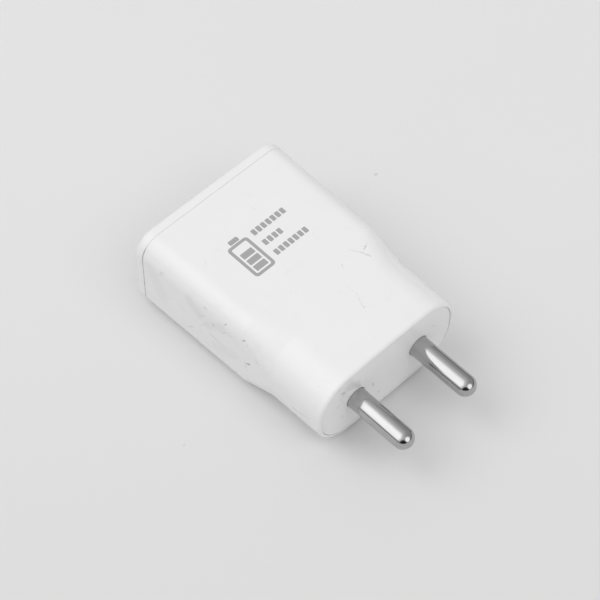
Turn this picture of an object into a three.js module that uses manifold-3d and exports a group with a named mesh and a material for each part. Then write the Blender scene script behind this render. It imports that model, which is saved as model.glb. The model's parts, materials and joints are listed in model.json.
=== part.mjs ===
// USB wall charger: a sleeve-shaped plastic housing closed by a pin plate in front and a USB end cap
// behind, with the board, transformer, capacitors and USB receptacle that it holds.
// Millimetres. The charger lies on its broad side: +Z up, pins towards -Y, USB port towards +Y.
import * as THREE from "three";
import { mergeVertices } from "three/addons/utils/BufferGeometryUtils.js";
import Module from "manifold-3d";

// ---- Driving dimensions -------------------------------------------------------------------------
const PIN_PITCH = 19; // centre to centre, two-pin plug
const PIN_RADIUS = 2.55;
const PIN_LENGTH = 16.5; // from the pin plate's face to the tip
const SLEEVE_LENGTH = 54.6; // from the pin plate's face to the end cap's joint
const CAP_LENGTH = 2.8;
const HALF_HEIGHT = 11.4; // of the broad rear section
// Cross-sections of the housing: rounded rectangles, whose broad sides bulge by "crown" in the middle.
const REAR = { halfWidth: 21.3, halfHeight: HALF_HEIGHT, corner: 4.95, crown: 0 };
const WAIST = { halfWidth: 20.5, halfHeight: HALF_HEIGHT, corner: 4.95, crown: 0, y: 23.9 };
const NECK = { halfWidth: 20.35, halfHeight: 11, corner: 9.3, crown: 0.1, y: 15.4 };
const FRONT = { halfWidth: 20.35, halfHeight: 10.45, corner: 9.2, crown: 0.2 };
const WALL = 1.6;
const FRONT_EDGE_RADIUS = 0.5;
const FRONT_RIM = 0.95; // from the sleeve's outside to the opening that holds the pin plate
const PLATE_THICKNESS = 2.5;
const CAP_EDGE_RADIUS = 1.4;
const JOINT_GAP = 0.12; // the line that shows between two housing pieces
const FIT_GAP = 0.05; // between pieces that touch

const BOARD = { top: 8.5, thickness: 1.2, front: 9.6, rear: 54.0, halfWidth: 17.5 };
const MOUNTED_Z = BOARD.top + FIT_GAP;
const RECEPTACLE = { width: 13.1, height: 5.7, depth: 14, sheet: 0.3, rear: 43.1 };
const TONGUE = { width: 11.1, thickness: 1.84, topGap: 0.64, tipInset: 1.1, length: 8.9 };
const CONTACT_X = [-3.5, -1, 1, 3.5];
const CONTACT = { width: 1.0, thickness: 0.25, bow: 0.45, length: 8.0 };

const LEAD_RADIUS = 0.32;
const LEAD_HOLE_RADIUS = 0.55;

const SEGMENTS = { corner: 9, edge: 4, round: 32, small: 8, body: 24 };
const MID_Z = HALF_HEIGHT;
const OVERALL_LENGTH = PIN_LENGTH + SLEEVE_LENGTH + CAP_LENGTH;

// ---- Materials ----------------------------------------------------------------------------------
const finish = (color, roughness, metalness = 0) =>
  new THREE.MeshStandardMaterial({ color, roughness, metalness });
const MATERIAL = {
  housing: finish(0xe9e9e8, 0.32),
  nickel: finish(0xc9c9c7, 0.16, 1),
  steel: finish(0xb9babb, 0.28, 1),
  bronze: finish(0xc59a5a, 0.3, 1),
  gold: finish(0xd9b45a, 0.22, 1),
  whitePlastic: finish(0xeeeeea, 0.45),
  board: finish(0x2f6b3c, 0.45),
  ferrite: finish(0x34322f, 0.7),
  tape: finish(0xd9b32a, 0.4),
  bobbin: finish(0x1d1d1d, 0.55),
  blackSleeve: finish(0x20242c, 0.35),
  polymerCan: finish(0xbfc3c8, 0.3, 1),
  chip: finish(0x1b1b1d, 0.6),
  blueDisc: finish(0x2c66b0, 0.4),
  fuseBody: finish(0x4c8a86, 0.5),
  ceramic: finish(0xb99a6e, 0.6),
};

// ---- Booleans -----------------------------------------------------------------------------------
const wasm = await Module();
wasm.setup();

function toSolid(geometry) {
  const bare = new THREE.BufferGeometry().setAttribute("position", geometry.getAttribute("position"));
  if (geometry.index) bare.setIndex(geometry.index);
  const merged = mergeVertices(bare, 1e-4);
  return new wasm.Manifold(
    new wasm.Mesh({
      numProp: 3,
      vertProperties: new Float32Array(merged.attributes.position.array),
      triVerts: new Uint32Array(merged.index.array),
    }),
  );
}

function toGeometry(solid) {
  const mesh = solid.getMesh();
  return new THREE.BufferGeometry()
    .setAttribute("position", new THREE.BufferAttribute(new Float32Array(mesh.vertProperties), 3))
    .setIndex(new THREE.BufferAttribute(new Uint32Array(mesh.triVerts), 1));
}

const join = (first, ...rest) =>
  toGeometry(rest.reduce((whole, piece) => whole.add(toSolid(piece)), toSolid(first)));

const cut = (first, ...tools) =>
  toGeometry(tools.reduce((whole, tool) => whole.subtract(toSolid(tool)), toSolid(first)));

// ---- Shapes -------------------------------------------------------------------------------------
const mix = (a, b, t) => a + (b - a) * t;

// Evenly spaced values from one to another, both included.
const steps = (from, to, count) =>
  Array.from({ length: count + 1 }, (_, i) => mix(from, to, i / count));

function box(x0, x1, y0, y1, z0, z1) {
  return new THREE.BoxGeometry(x1 - x0, y1 - y0, z1 - z0).translate(
    (x0 + x1) / 2,
    (y0 + y1) / 2,
    (z0 + z1) / 2,
  );
}

// A cylinder from one height to another along an axis, centred on the other two coordinates of "at".
function rod(axis, radius, from, to, at, segments = SEGMENTS.body) {
  const geometry = new THREE.CylinderGeometry(radius, radius, to - from, segments);
  const middle = (from + to) / 2;
  if (axis === "x") return geometry.rotateZ(Math.PI / 2).translate(middle, at[0], at[1]);
  if (axis === "z") return geometry.rotateX(Math.PI / 2).translate(at[0], at[1], middle);
  return geometry.translate(at[0], middle, at[1]);
}

// The four corners of a rectangle as sign pairs [across, up], counter-clockwise from the first quadrant.
const QUADRANTS = [[1, 1], [-1, 1], [-1, -1], [1, -1]];

// Points of a rounded rectangle, as [across, up] pairs about its centre, counter-clockwise.
function roundedOutline(halfWidth, halfHeight, corner, perCorner = SEGMENTS.corner) {
  return QUADRANTS.flatMap(([sideX, sideZ], quarter) =>
    steps(quarter, quarter + 1, perCorner - 1).map((turn) => [
      sideX * (halfWidth - corner) + corner * Math.cos((turn * Math.PI) / 2),
      sideZ * (halfHeight - corner) + corner * Math.sin((turn * Math.PI) / 2),
    ]),
  );
}

// One cross-section of the housing at a distance y from the pin plate's face, less "inset" all round.
function ring(y, section, inset = 0) {
  const corner = Math.max(section.corner - inset, 0.4);
  const halfWidth = section.halfWidth - inset;
  const flat = halfWidth - corner;
  const outline = roundedOutline(halfWidth, section.halfHeight - inset, corner);
  // The broad sides get points of their own, which carry the crown.
  const side = (from, z) =>
    steps(from, -from, SEGMENTS.edge)
      .slice(1, -1)
      .map((x) => [x, z + Math.sign(z) * section.crown * (1 - (x / flat) ** 2)]);
  const top = section.halfHeight - inset;
  outline.splice(3 * SEGMENTS.corner, 0, ...side(-flat, -top));
  outline.splice(SEGMENTS.corner, 0, ...side(flat, top));
  return outline.map(([x, z]) => new THREE.Vector3(x, y, MID_Z + z));
}

// Skins a row of rings that run from +Y to -Y outside. A looped row joins its last ring to its first,
// which makes a sleeve; otherwise flat fans close both ends.
function loft(rings, looped = false) {
  const count = rings[0].length;
  const index = [];
  const spans = looped ? rings.length : rings.length - 1;
  for (let i = 0; i < spans; i++) {
    const here = i * count;
    const next = ((i + 1) % rings.length) * count;
    for (let j = 0; j < count; j++) {
      const k = (j + 1) % count;
      index.push(here + j, here + k, next + j, here + k, next + k, next + j);
    }
  }
  if (!looped) {
    const last = (rings.length - 1) * count;
    for (let j = 1; j < count - 1; j++) {
      index.push(0, j + 1, j);
      index.push(last, last + j, last + j + 1);
    }
  }
  const positions = rings.flat().flatMap((p) => [p.x, p.y, p.z]);
  return new THREE.BufferGeometry()
    .setAttribute("position", new THREE.Float32BufferAttribute(positions, 3))
    .setIndex(index);
}

// A solid of revolution about an axis along Y, from [radius, y] pairs that start and end on the axis.
function turned(profile, at, segments = SEGMENTS.body) {
  const points = profile.map(([radius, y]) => new THREE.Vector2(radius, y));
  return new THREE.LatheGeometry(points, segments).translate(at[0], 0, at[1]);
}

// The same about an axis along Z.
function turnedUpright(profile, at, segments = SEGMENTS.body) {
  const points = profile.map(([radius, z]) => new THREE.Vector2(radius, z));
  return new THREE.LatheGeometry(points, segments).rotateX(Math.PI / 2).translate(at[0], at[1], 0);
}

// A round lead along straight legs from point to point.
function lead(points, radius = LEAD_RADIUS) {
  return points.slice(1).map((end, i) => {
    const from = new THREE.Vector3(...points[i]);
    const to = new THREE.Vector3(...end);
    const along = to.clone().sub(from);
    const length = along.length() + radius; // runs past the corner, so that the legs join
    const leg = new THREE.CylinderGeometry(radius, radius, length, SEGMENTS.small);
    leg.translate(0, length / 2, 0);
    leg.applyQuaternion(
      new THREE.Quaternion().setFromUnitVectors(new THREE.Vector3(0, 1, 0), along.normalize()),
    );
    return leg.translate(from.x, from.y, from.z);
  });
}

// A lead that goes straight down through the board.
const straightLead = ([x, y], top, radius = LEAD_RADIUS) =>
  rod("z", radius, LEAD_END, top, [x, y], SEGMENTS.small);

const blendSections = (a, b, t) => ({
  halfWidth: mix(a.halfWidth, b.halfWidth, t),
  halfHeight: mix(a.halfHeight, b.halfHeight, t),
  corner: mix(a.corner, b.corner, t),
  crown: mix(a.crown, b.crown, t),
});

// The housing's outer section at y: a neck, a bevelled shoulder and a rear part, each with straight sides.
function housingSection(y) {
  if (y <= NECK.y) return blendSections(FRONT, NECK, y / NECK.y);
  if (y >= WAIST.y) return blendSections(WAIST, REAR, (y - WAIST.y) / (SLEEVE_LENGTH - WAIST.y));
  return blendSections(NECK, WAIST, (y - NECK.y) / (WAIST.y - NECK.y));
}

// The opening in the sleeve's front, less "clear" all round.
const frontOpening = (y, clear = 0) => ring(y, FRONT, FRONT_RIM + clear);

// ---- Housing ------------------------------------------------------------------------------------
function mainShell() {
  const ledge = { depth: 1.1, front: PLATE_THICKNESS + FIT_GAP, rear: PLATE_THICKNESS + 1.4 };
  const shoulder = steps(WAIST.y, NECK.y, 3);
  const fillet = steps(0, Math.PI / 2, 3).map((angle) =>
    ring(
      FRONT_EDGE_RADIUS * (1 - Math.sin(angle)),
      FRONT,
      FRONT_EDGE_RADIUS * (1 - Math.cos(angle)),
    ),
  );
  const outside = [
    ring(SLEEVE_LENGTH, REAR, JOINT_GAP),
    ring(SLEEVE_LENGTH - JOINT_GAP, REAR),
    ...shoulder.map((y) => ring(y, housingSection(y))),
    ...fillet,
  ];
  const inside = [
    frontOpening(0),
    frontOpening(ledge.front),
    frontOpening(ledge.front, ledge.depth),
    frontOpening(ledge.rear, ledge.depth),
    ring(ledge.rear + ledge.depth, FRONT, WALL),
    ...shoulder.toReversed().map((y) => ring(y, housingSection(y), WALL)),
    ring(SLEEVE_LENGTH, REAR, WALL),
  ];
  const rail = { reach: 2.6, height: 0.9, clear: 0.15, front: 8, rear: 50 };
  const boardBottom = BOARD.top - BOARD.thickness;
  const rails = [-1, 1].flatMap((side) =>
    [boardBottom - rail.clear - rail.height, BOARD.top + rail.clear].map((z) => {
      const inner = side * (BOARD.halfWidth - 0.9);
      const outer = side * (BOARD.halfWidth - 0.9 + rail.reach);
      return box(Math.min(inner, outer), Math.max(inner, outer), rail.front, rail.rear, z, z + rail.height);
    }),
  );
  return join(loft([...outside, ...inside], true), ...rails);
}

function usbEndCap() {
  const joint = SLEEVE_LENGTH + JOINT_GAP;
  const rear = SLEEVE_LENGTH + CAP_LENGTH;
  const spigot = { clear: 0.1, wall: 1.2, front: SLEEVE_LENGTH - 3 };
  const innerFace = SLEEVE_LENGTH + 0.8;
  const edge = steps(Math.PI / 2, 0, 4).map((angle) =>
    ring(rear - CAP_EDGE_RADIUS * (1 - Math.sin(angle)), REAR, CAP_EDGE_RADIUS * (1 - Math.cos(angle))),
  );
  const body = loft([
    ...edge,
    ring(joint + JOINT_GAP, REAR),
    ring(joint, REAR, JOINT_GAP),
    ring(joint, REAR, WALL + spigot.clear),
    ring(spigot.front, REAR, WALL + spigot.clear),
    ring(spigot.front, REAR, WALL + spigot.clear + spigot.wall),
    ring(innerFace, REAR, WALL + spigot.clear + spigot.wall),
  ]);
  const clear = 0.15;
  const halfWidth = RECEPTACLE.width / 2 + clear;
  const halfHeight = RECEPTACLE.height / 2 + clear;
  const window = box(-halfWidth, halfWidth, innerFace - 1, rear + 1, MID_Z - halfHeight, MID_Z + halfHeight);
  // The bevel round the port, a four-sided frustum that widens outwards.
  const bevel = 0.35;
  const corners = (y, grow) =>
    QUADRANTS.map(
      ([sideX, sideZ]) =>
        new THREE.Vector3(sideX * (halfWidth + grow), y, MID_Z + sideZ * (halfHeight + grow)),
    );
  const mouth = loft([corners(rear + bevel, 2 * bevel), corners(rear - bevel, 0)]);
  return cut(body, window, mouth);
}

function pinPlate() {
  const rim = 0.15; // a small bevel round the face, along the joint
  const boss = { radius: 4.6, front: PLATE_THICKNESS / 2, rear: PLATE_THICKNESS + 4 };
  const web = { halfHeight: 0.8, rear: boss.rear - 1.2 };
  const plate = loft([
    frontOpening(PLATE_THICKNESS, FIT_GAP),
    frontOpening(rim, FIT_GAP),
    frontOpening(0, FIT_GAP + rim),
  ]);
  const bosses = [-1, 1].map((side) =>
    rod("y", boss.radius, boss.front, boss.rear, [(side * PIN_PITCH) / 2, MID_Z]),
  );
  const brace = box(
    -PIN_PITCH / 2,
    PIN_PITCH / 2,
    boss.front,
    web.rear,
    MID_Z - web.halfHeight,
    MID_Z + web.halfHeight,
  );
  const holes = [-1, 1].map((side) =>
    rod("y", PIN_RADIUS + FIT_GAP, -1, boss.rear + 1, [(side * PIN_PITCH) / 2, MID_Z], SEGMENTS.round),
  );
  return cut(join(plate, ...bosses, brace), ...holes);
}

function pin(side) {
  const collar = { radius: 3.4, front: PLATE_THICKNESS + 4 + FIT_GAP, length: 1.1 };
  const tail = { radius: 1.5, rear: 10.5 };
  const tip = steps(0, Math.PI / 2, 7).map((angle) => [
    PIN_RADIUS * Math.sin(angle),
    -PIN_LENGTH + PIN_RADIUS * (1 - Math.cos(angle)),
  ]);
  const profile = [
    ...tip,
    [PIN_RADIUS, collar.front],
    [collar.radius, collar.front],
    [collar.radius, collar.front + collar.length],
    [tail.radius, collar.front + collar.length],
    [tail.radius, tail.rear],
    [0, tail.rear],
  ];
  return turned(profile, [(side * PIN_PITCH) / 2, MID_Z], SEGMENTS.round);
}

// A sprung strip that stands on the board and presses on the end of a pin.
function pinContact(side) {
  const strip = { thickness: 0.4, halfWidth: 2, front: 10.55, foot: 14.5, top: 13.2 };
  const x = (side * PIN_PITCH) / 2;
  const blade = box(
    x - strip.halfWidth,
    x + strip.halfWidth,
    strip.front,
    strip.front + strip.thickness,
    MOUNTED_Z,
    strip.top,
  );
  const foot = box(
    x - strip.halfWidth,
    x + strip.halfWidth,
    strip.front,
    strip.foot,
    MOUNTED_Z,
    MOUNTED_Z + strip.thickness,
  );
  return join(blade, foot);
}

// ---- Board and its parts ------------------------------------------------------------------------
const LEAD_END = BOARD.top - BOARD.thickness - 0.9;
const BULK_LARGE = { radius: 4.8, x: -12.6, front: 19.6, rear: 37.4 };
const BULK_SMALL = { radius: 4, y: 18.6, left: -6.2, right: 6.6 };
const CHOKE = { radius: 3.5, x: 12.4, y: 18.6, height: 8.2 };
const TRANSFORMER = { x: 1.2, y: 30.5, z: 14.75, width: 16, length: 14, thick: 5 };
const Y_CAPACITOR = { radius: 3.6, thickness: 3.2, x: 14.2, y: 28.6 };
const OUTPUT_CAPACITOR = { radius: 3.15, x: 11.6, y: 45.2, height: 8.4 };
const FUSE = { radius: 1.6, y: 12.4, halfLength: 4.2 };
const DIODE = { radius: 1.35, x: 11.6, front: 31.4, rear: 36.4, z: BOARD.top + 1.7 };

const LEADS = {
  bulkLarge: [-2.5, 2.5].map((dx) => [BULK_LARGE.x + dx, BULK_LARGE.front - 1.3]),
  bulkSmall: [-1.8, 1.8].map((dy) => [BULK_SMALL.right + 1.1, BULK_SMALL.y + dy]),
  choke: [-2, 2].map((dy) => [CHOKE.x, CHOKE.y + dy]),
  yCapacitor: [-2.5, 2.5].map((dy) => [Y_CAPACITOR.x, Y_CAPACITOR.y + dy]),
  outputLeft: [-1.25, 1.25].map((dy) => [-OUTPUT_CAPACITOR.x, OUTPUT_CAPACITOR.y + dy]),
  outputRight: [-1.25, 1.25].map((dy) => [OUTPUT_CAPACITOR.x, OUTPUT_CAPACITOR.y + dy]),
  fuse: [-1, 1].map((side) => [side * (FUSE.halfLength + 1.3), FUSE.y]),
  diode: [DIODE.front - 1.4, DIODE.rear + 1.4].map((y) => [DIODE.x, y]),
  bobbin: [-1, 1].flatMap((end) =>
    [-4, 0, 4].map((dx) => [TRANSFORMER.x + dx, TRANSFORMER.y + end * 4.9]),
  ),
  contacts: CONTACT_X.map((x) => [x, RECEPTACLE.rear - 0.6]),
  shellLegs: [-1, 1].map((side) => [side * (RECEPTACLE.width / 2 - RECEPTACLE.sheet / 2), 49.4]),
};

function mainBoard() {
  const outline = new THREE.Shape();
  const notch = 2.2; // bevelled front corners, where the housing is rounder
  outline.moveTo(-BOARD.halfWidth + notch, BOARD.front);
  outline.lineTo(BOARD.halfWidth - notch, BOARD.front);
  outline.lineTo(BOARD.halfWidth, BOARD.front + notch);
  outline.lineTo(BOARD.halfWidth, BOARD.rear);
  outline.lineTo(-BOARD.halfWidth, BOARD.rear);
  outline.lineTo(-BOARD.halfWidth, BOARD.front + notch);
  outline.closePath();
  const drill = (x, y, radius) => {
    const hole = new THREE.Path();
    hole.absarc(x, y, radius, 0, 2 * Math.PI, true);
    outline.holes.push(hole);
  };
  const { shellLegs, ...drilled } = LEADS;
  Object.values(drilled)
    .flat()
    .forEach(([x, y]) => drill(x, y, LEAD_HOLE_RADIUS));
  shellLegs.forEach(([x, y]) => drill(x, y, 1.0));
  // The isolation slot between the mains side and the low-voltage side.
  const slot = new THREE.Path();
  const slotY = TRANSFORMER.y + 7.9;
  slot.moveTo(-9.2, slotY - 0.6);
  slot.lineTo(-9.2, slotY + 0.6);
  slot.lineTo(8.4, slotY + 0.6);
  slot.lineTo(8.4, slotY - 0.6);
  slot.closePath();
  outline.holes.push(slot);
  return new THREE.ExtrudeGeometry(outline, {
    depth: BOARD.thickness,
    bevelEnabled: false,
    curveSegments: SEGMENTS.small / 2,
  }).translate(0, 0, BOARD.top - BOARD.thickness);
}

// A lying electrolytic can: rolled groove near the bung, domed shoulders at both ends.
const canProfile = (radius, length) => [
  [0, 0],
  [radius * 0.8, 0],
  [radius * 0.95, radius * 0.1],
  [radius, radius * 0.25],
  [radius, 1.6],
  [radius * 0.9, 2.0],
  [radius, 2.4],
  [radius, length - 0.5],
  [radius - 0.5, length],
  [0, length],
];

function bulkCapacitorLarge() {
  const { radius, x, front, rear } = BULK_LARGE;
  const axisZ = MOUNTED_Z + radius + 0.1;
  const can = turned(
    canProfile(radius, rear - front).map(([r, y]) => [r, front + y]),
    [x, axisZ],
  );
  const leads = LEADS.bulkLarge.flatMap(([lx, ly]) =>
    lead([[lx, front + 0.3, axisZ], [lx, ly, axisZ], [lx, ly, LEAD_END]]),
  );
  return join(can, ...leads);
}

function bulkCapacitorSmall() {
  const { radius, y, left, right } = BULK_SMALL;
  const axisZ = MOUNTED_Z + radius + 0.1;
  const can = turned(canProfile(radius, right - left), [0, 0])
    .rotateZ(Math.PI / 2) // the bung now faces +X
    .translate(right, y, axisZ);
  const leads = LEADS.bulkSmall.flatMap(([lx, ly]) =>
    lead([[right - 0.3, ly, axisZ], [lx, ly, axisZ], [lx, ly, LEAD_END]]),
  );
  return join(can, ...leads);
}

function outputCapacitor(side, leadPoints) {
  const { radius, x, y, height } = OUTPUT_CAPACITOR;
  const base = MOUNTED_Z;
  const can = turnedUpright(
    [
      [0, base],
      [radius * 0.85, base],
      [radius, base + 0.5],
      [radius, base + 1.1],
      [radius * 0.88, base + 1.5],
      [radius, base + 1.9],
      [radius, base + height - 0.4],
      [radius - 0.4, base + height],
      [0, base + height],
    ],
    [side * x, y],
  );
  const leads = leadPoints.map((place) => straightLead(place, base + 0.3));
  return join(can, ...leads);
}

// The choke's ferrite drum: two flanges joined by a core, which carries the winding.
function chokeDrum() {
  const { radius, x, y, height } = CHOKE;
  const base = MOUNTED_Z;
  const flange = 1.2;
  const core = 1.7;
  const drum = turnedUpright(
    [
      [0, base],
      [radius, base],
      [radius, base + flange],
      [core, base + flange],
      [core, base + height - flange],
      [radius, base + height - flange],
      [radius, base + height],
      [0, base + height],
    ],
    [x, y],
  );
  const leads = LEADS.choke.map((place) => straightLead(place, base + 0.3));
  return join(drum, ...leads);
}

function chokeWinding() {
  const { radius, x, y, height } = CHOKE;
  const low = MOUNTED_Z + 1.3;
  const high = MOUNTED_Z + height - 1.3;
  const inner = 1.78;
  const outer = radius - 0.25;
  return turnedUpright(
    [
      [inner, low],
      [outer, low],
      [outer, high],
      [inner, high],
      [inner, low],
    ],
    [x, y],
  );
}

function fuseResistor() {
  const axisZ = MOUNTED_Z + FUSE.radius + 0.2;
  const { radius, halfLength } = FUSE;
  const body = turned(
    [
      [0, -halfLength],
      [radius * 0.75, -halfLength],
      [radius, -halfLength + 0.5],
      [radius, -halfLength + 1.9],
      [radius * 0.88, -halfLength + 2.3],
      [radius * 0.88, halfLength - 2.3],
      [radius, halfLength - 1.9],
      [radius, halfLength - 0.5],
      [radius * 0.75, halfLength],
      [0, halfLength],
    ],
    [0, 0],
  )
    .rotateZ(-Math.PI / 2)
    .translate(0, FUSE.y, axisZ);
  const leads = LEADS.fuse.flatMap(([lx, ly]) =>
    lead([[Math.sign(lx) * (halfLength - 0.3), ly, axisZ], [lx, ly, axisZ], [lx, ly, LEAD_END]]),
  );
  return join(body, ...leads);
}

function snubberDiode() {
  const body = rod("y", DIODE.radius, DIODE.front, DIODE.rear, [DIODE.x, DIODE.z]);
  const leads = LEADS.diode.flatMap(([lx, ly], i) => {
    const end = i === 0 ? DIODE.front + 0.3 : DIODE.rear - 0.3;
    return lead([[lx, end, DIODE.z], [lx, ly, DIODE.z], [lx, ly, LEAD_END]]);
  });
  return join(body, ...leads);
}

function yCapacitor() {
  const { radius, thickness, x, y } = Y_CAPACITOR;
  const centreZ = MOUNTED_Z + radius + 1.4;
  const lens = turned(
    [
      [0, -thickness / 2],
      [radius * 0.7, -thickness / 2],
      [radius * 0.94, -thickness / 4],
      [radius, 0],
      [radius * 0.94, thickness / 4],
      [radius * 0.7, thickness / 2],
      [0, thickness / 2],
    ],
    [0, 0],
  )
    .rotateZ(-Math.PI / 2)
    .translate(x, y, centreZ);
  const leads = LEADS.yCapacitor.map((place) => straightLead(place, centreZ - 1.2));
  return join(lens, ...leads);
}

// Half of the transformer's E core, seen from above as an E that opens towards +Y or -Y.
function transformerCore(end) {
  const { x, y, z, width, length, thick } = TRANSFORMER;
  const back = 2.3;
  const outerLeg = 2;
  const centreLeg = 4;
  const meet = y + end * FIT_GAP;
  const rear = y + (end * length) / 2;
  const bar = (x0, x1, from, to) =>
    box(x + x0, x + x1, Math.min(from, to), Math.max(from, to), z - thick / 2, z + thick / 2);
  const spine = bar(-width / 2, width / 2, rear - end * back, rear);
  const legs = [
    [-width / 2, -width / 2 + outerLeg],
    [-centreLeg / 2, centreLeg / 2],
    [width / 2 - outerLeg, width / 2],
  ].map(([x0, x1]) => bar(x0, x1, meet, rear - (end * back) / 2));
  return join(spine, ...legs);
}

// The winding carrier: a square tube round the core's centre leg, two flanges and two pin rails.
function transformerBobbin() {
  const { x, y, z, thick } = TRANSFORMER;
  const clear = 0.2;
  const wall = 0.7;
  const halfLength = 4.6;
  const flange = { halfWidth: 5.7, halfHeight: 5.6, thickness: 0.9 };
  const holeX = 2 + clear;
  const holeZ = thick / 2 + clear;
  const tube = box(
    x - holeX - wall,
    x + holeX + wall,
    y - halfLength,
    y + halfLength,
    z - holeZ - wall,
    z + holeZ + wall,
  );
  const parts = [-1, 1].flatMap((end) => {
    const outer = y + end * halfLength;
    const inner = outer - end * flange.thickness;
    const rail = outer + end * 1.1;
    const plate = box(
      x - flange.halfWidth,
      x + flange.halfWidth,
      Math.min(inner, outer),
      Math.max(inner, outer),
      z - flange.halfHeight,
      z + flange.halfHeight,
    );
    const pinRail = box(
      x - flange.halfWidth,
      x + flange.halfWidth,
      Math.min(inner, rail),
      Math.max(inner, rail),
      MOUNTED_Z + 0.3,
      z - thick / 2 - 0.3,
    );
    return [plate, pinRail];
  });
  const pins = LEADS.bobbin.map((place) => straightLead(place, MOUNTED_Z + 1.2));
  const hole = box(x - holeX, x + holeX, y - halfLength - 1, y + halfLength + 1, z - holeZ, z + holeZ);
  return cut(join(tube, ...parts, ...pins), hole);
}

function transformerWinding() {
  const { x, y, z, thick } = TRANSFORMER;
  const halfLength = 3.6;
  const outline = (halfWidth, halfHeight, corner) => {
    const points = roundedOutline(halfWidth, halfHeight, corner, 6);
    return points.map(([px, pz]) => new THREE.Vector2(px, pz));
  };
  const shape = new THREE.Shape(outline(5.2, 5.3, 2));
  shape.holes.push(new THREE.Path(outline(2.95, thick / 2 + 0.95, 0.1)));
  return new THREE.ExtrudeGeometry(shape, { depth: 2 * halfLength, bevelEnabled: false })
    .rotateX(Math.PI / 2)
    .translate(x, y + halfLength, z);
}

// A flat chip package with gull-wing legs on two sides, above or below the board.
function chipPackage({ x, y, width, length, height, legs, below = false }) {
  const foot = 0.12;
  const reach = 1.0;
  const z = (from, to) => {
    if (!below) return [MOUNTED_Z + from, MOUNTED_Z + to];
    const top = BOARD.top - BOARD.thickness - FIT_GAP;
    return [top - to, top - from];
  };
  const body = box(x - width / 2, x + width / 2, y - length / 2, y + length / 2, ...z(foot, height));
  const pitch = length / legs;
  const wings = [-1, 1].flatMap((side) =>
    Array.from({ length: legs }, (_, i) => {
      const legY = y + (i - (legs - 1) / 2) * pitch;
      const from = x + side * (width / 2 - 0.2);
      const to = x + side * (width / 2 + reach);
      return box(Math.min(from, to), Math.max(from, to), legY - 0.22, legY + 0.22, ...z(0, 0.3));
    }),
  );
  return join(body, ...wings);
}

// A small two-ended surface part: a body between two slightly thicker metal ends.
function chipComponent({ x, y, length, width, height, along = "x" }) {
  const top = BOARD.top - BOARD.thickness - FIT_GAP;
  const end = length * 0.2;
  const lift = 0.05;
  const place = (u0, u1, v0, v1, z0, z1) =>
    along === "x"
      ? box(x + u0, x + u1, y + v0, y + v1, z0, z1)
      : box(x + v0, x + v1, y + u0, y + u1, z0, z1);
  const half = length / 2 - 0.02;
  const body = place(-half, half, -width / 2, width / 2, top - height + lift, top - lift);
  const ends = [-1, 1].map((side) => {
    const from = side * (length / 2 - end);
    const to = (side * length) / 2;
    return place(
      Math.min(from, to),
      Math.max(from, to),
      -width / 2 - lift,
      width / 2 + lift,
      top - height,
      top,
    );
  });
  return join(body, ...ends);
}

// ---- USB receptacle -----------------------------------------------------------------------------
const SHELL_INNER = {
  halfWidth: RECEPTACLE.width / 2 - RECEPTACLE.sheet,
  halfHeight: RECEPTACLE.height / 2 - RECEPTACLE.sheet,
  front: RECEPTACLE.rear + RECEPTACLE.depth,
};
const TONGUE_TOP = MID_Z + SHELL_INNER.halfHeight - TONGUE.topGap;
const TONGUE_TIP = SHELL_INNER.front - TONGUE.tipInset;
const TONGUE_ROOT = TONGUE_TIP - TONGUE.length;

// The stamped shell: a sheet tube with four inward leaves that grip the plug, and two board legs.
function usbShell() {
  const { width, height, rear, sheet } = RECEPTACLE;
  const front = SHELL_INNER.front;
  const outer = box(-width / 2, width / 2, rear, front, MID_Z - height / 2, MID_Z + height / 2);
  const bore = box(
    -SHELL_INNER.halfWidth,
    SHELL_INNER.halfWidth,
    rear - 1,
    front + 1,
    MID_Z - SHELL_INNER.halfHeight,
    MID_Z + SHELL_INNER.halfHeight,
  );
  const leaf = { x: 3.1, halfWidth: 0.9, gap: 0.3, front: front - 2.2, length: 5.4, bend: 0.3 };
  const windows = [];
  const leaves = [];
  for (const side of [-1, 1]) {
    for (const face of [-1, 1]) {
      const x = side * leaf.x;
      const skin = MID_Z + face * (height / 2 - sheet / 2);
      const rearEnd = leaf.front - leaf.length;
      windows.push(
        box(
          x - leaf.halfWidth - leaf.gap,
          x + leaf.halfWidth + leaf.gap,
          rearEnd - leaf.gap,
          leaf.front,
          skin - sheet,
          skin + sheet,
        ),
      );
      const slope = Math.atan2(leaf.bend, leaf.length);
      leaves.push(
        new THREE.BoxGeometry(2 * leaf.halfWidth, leaf.length + 0.4, sheet * 0.8)
          .translate(0, -leaf.length / 2, 0)
          .rotateX(face * slope)
          .translate(x, leaf.front, skin),
      );
    }
  }
  const legs = LEADS.shellLegs.map(([x, y]) =>
    box(x - sheet / 2, x + sheet / 2, y - 0.6, y + 0.6, LEAD_END, MID_Z - height / 2 + 1),
  );
  return join(cut(outer, bore, ...windows), ...leaves, ...legs);
}

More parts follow.
